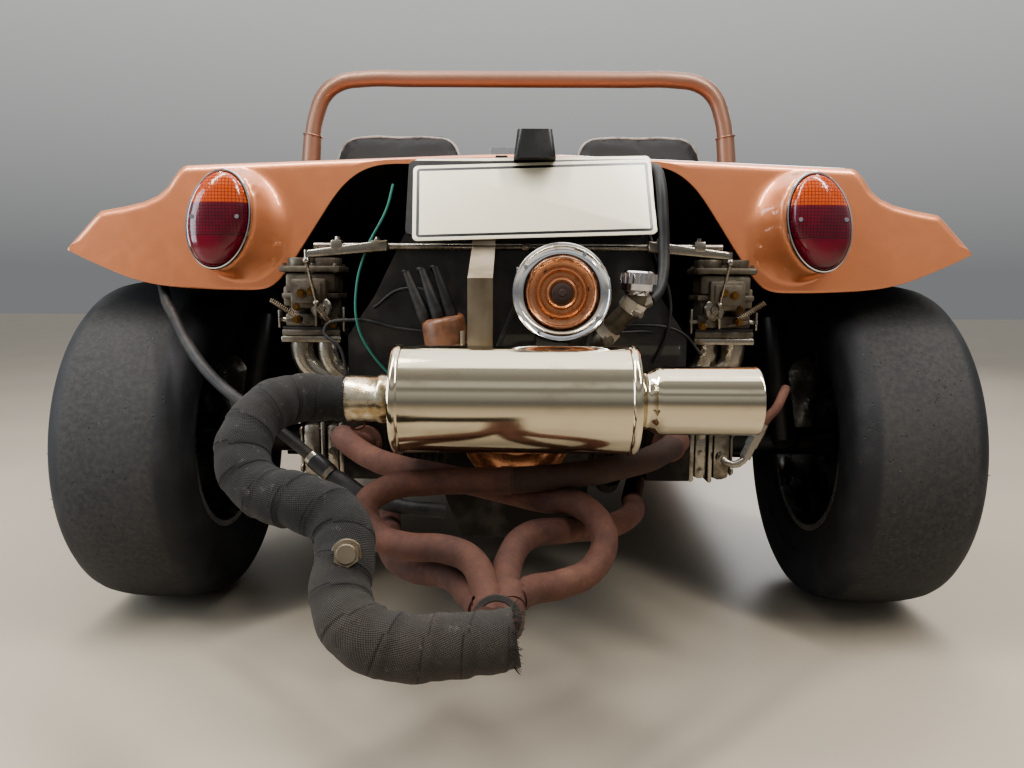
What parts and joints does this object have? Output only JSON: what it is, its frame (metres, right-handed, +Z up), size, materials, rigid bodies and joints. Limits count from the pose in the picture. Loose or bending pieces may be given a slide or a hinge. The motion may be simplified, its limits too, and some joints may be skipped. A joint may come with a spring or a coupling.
{
  "type": "dune buggy",
  "caption": "Open two-seat dune buggy with moulded body, roll bar and a rear engine in open view; wheels roll and the front wheels steer.",
  "frame": {"origin": "on the ground below the middle of the overall length", "axes": "+X to the vehicle's left, +Y to its rear, +Z up"},
  "size_m": [1.743, 3.583, 1.28],
  "materials": {
    "body_paint": "gloss",
    "bar_paint": "satin",
    "tyre_rubber": "matte",
    "polished_alloy": "polished",
    "cast_alloy": "as cast",
    "chassis_black": "satin",
    "seat_vinyl": "satin",
    "screen_glass": "clear",
    "chrome": "polished",
    "polished_steel": "polished",
    "lamp_lens": "gloss",
    "lamp_glass": "clear",
    "black_plastic": "satin",
    "brown_cap": "satin",
    "rusty_steel": "rusted",
    "pipe_wrap": "woven",
    "copper_paint": "satin",
    "brushed_steel": "brushed",
    "plate_white": "satin",
    "rubber": "matte"
  },
  "bodies": {
    "chassis": {"floor_pan": "chassis_black", "body_tub": "body_paint", "rear_deck": "body_paint", "rear_fender_left": "body_paint", "rear_fender_right": "body_paint", "hood": "body_paint", "front_fender_left": "body_paint", "front_fender_right": "body_paint", "windscreen_frame": "chassis_black", "windscreen_glass": "screen_glass", "dashboard": "body_paint", "roll_bar": "bar_paint", "seat_left": "seat_vinyl", "seat_right": "seat_vinyl", "steering_column": "chassis_black", "controls": "chassis_black", "headlamps": "chrome", "front_axle_beam": "chassis_black", "rear_axle": "chassis_black", "transaxle": "cast_alloy", "engine_case": "cast_alloy", "cylinder_heads": "cast_alloy", "rocker_covers": "polished_alloy", "fan_shroud": "chassis_black", "dynamo": "chassis_black", "dynamo_pulley": "copper_paint", "crank_pulley": "copper_paint", "fan_belt": "rubber", "belt_guard": "chrome", "manifolds": "cast_alloy", "carburettors": "cast_alloy", "throttle_linkage": "polished_alloy", "exhaust_header": "rusty_steel", "wrapped_pipe": "pipe_wrap", "muffler": "polished_steel", "muffler_bracket": "brushed_steel", "number_plate": "plate_white", "plate_carrier": "black_plastic", "plate_lamp": "black_plastic", "distributor": "brown_cap", "oil_filler": "chrome", "hoses": "rubber", "tail_lamp_rims": "chrome", "tail_lamp_lenses": "lamp_lens"},
    "rear_wheel_left": {"rear_tyre_left": "tyre_rubber", "rear_rim_left": "polished_alloy"},
    "rear_wheel_right": {"rear_tyre_right": "tyre_rubber", "rear_rim_right": "polished_alloy"},
    "front_wheel_left": {"front_tyre_left": "tyre_rubber", "front_rim_left": "polished_alloy"},
    "front_wheel_right": {"front_tyre_right": "tyre_rubber", "front_rim_right": "polished_alloy"},
    "steer_left": {"knuckle_left": "chassis_black"},
    "steer_right": {"knuckle_right": "chassis_black"},
    "steering_arm": {"pitman_arm": "chassis_black"},
    "steering_rod": {"track_rod": "chassis_black"},
    "hand_wheel": {"steering_wheel": "black_plastic"}
  },
  "joints": [
    {"name": "steer_left_pivot", "type": "hinge", "parent": "chassis", "child": "steer_left", "pos_m": [0.59, -1.2315, 0.311], "axis": [0, 0, 1], "range_deg": [-28, 28]},
    {"name": "steer_right_pivot", "type": "hinge", "parent": "chassis", "child": "steer_right", "pos_m": [-0.59, -1.2315, 0.311], "axis": [0, 0, 1], "range_deg": [-28, 28]},
    {"name": "steering_arm_pivot", "type": "hinge", "parent": "chassis", "child": "steering_arm", "pos_m": [0.2, -1.2315, 0.435], "axis": [0, 0, 1], "range_deg": [-28, 28]},
    {"name": "steering_rod_pivot", "type": "hinge", "parent": "steering_arm", "child": "steering_rod", "pos_m": [0.2, -1.1265, 0.4133], "axis": [0, 0, 1], "range_deg": [-28, 28]},
    {"name": "hand_wheel_turn", "type": "hinge", "parent": "chassis", "child": "hand_wheel", "pos_m": [0.352, -0.2815, 0.8], "axis": [0, 0.8601, 0.5101], "range_deg": [-392, 392]},
    {"name": "front_wheel_left_spin", "type": "hinge", "parent": "steer_left", "child": "front_wheel_left", "pos_m": [0.655, -1.2315, 0.311], "axis": [1, 0, 0], "continuous": true},
    {"name": "front_wheel_right_spin", "type": "hinge", "parent": "steer_right", "child": "front_wheel_right", "pos_m": [-0.655, -1.2315, 0.311], "axis": [1, 0, 0], "continuous": true},
    {"name": "rear_wheel_left_spin", "type": "hinge", "parent": "chassis", "child": "rear_wheel_left", "pos_m": [0.74, 0.8085, 0.3435], "axis": [1, 0, 0], "continuous": true},
    {"name": "rear_wheel_right_spin", "type": "hinge", "parent": "chassis", "child": "rear_wheel_right", "pos_m": [-0.74, 0.8085, 0.3435], "axis": [1, 0, 0], "continuous": true}
  ],
  "couplings": [
    {"joint": "steer_right_pivot", "follows": "steer_left_pivot", "ratio": 1},
    {"joint": "steering_arm_pivot", "follows": "steer_left_pivot", "ratio": 1},
    {"joint": "steering_rod_pivot", "follows": "steer_left_pivot", "ratio": -1},
    {"joint": "hand_wheel_turn", "follows": "steer_left_pivot", "ratio": 14}
  ]
}
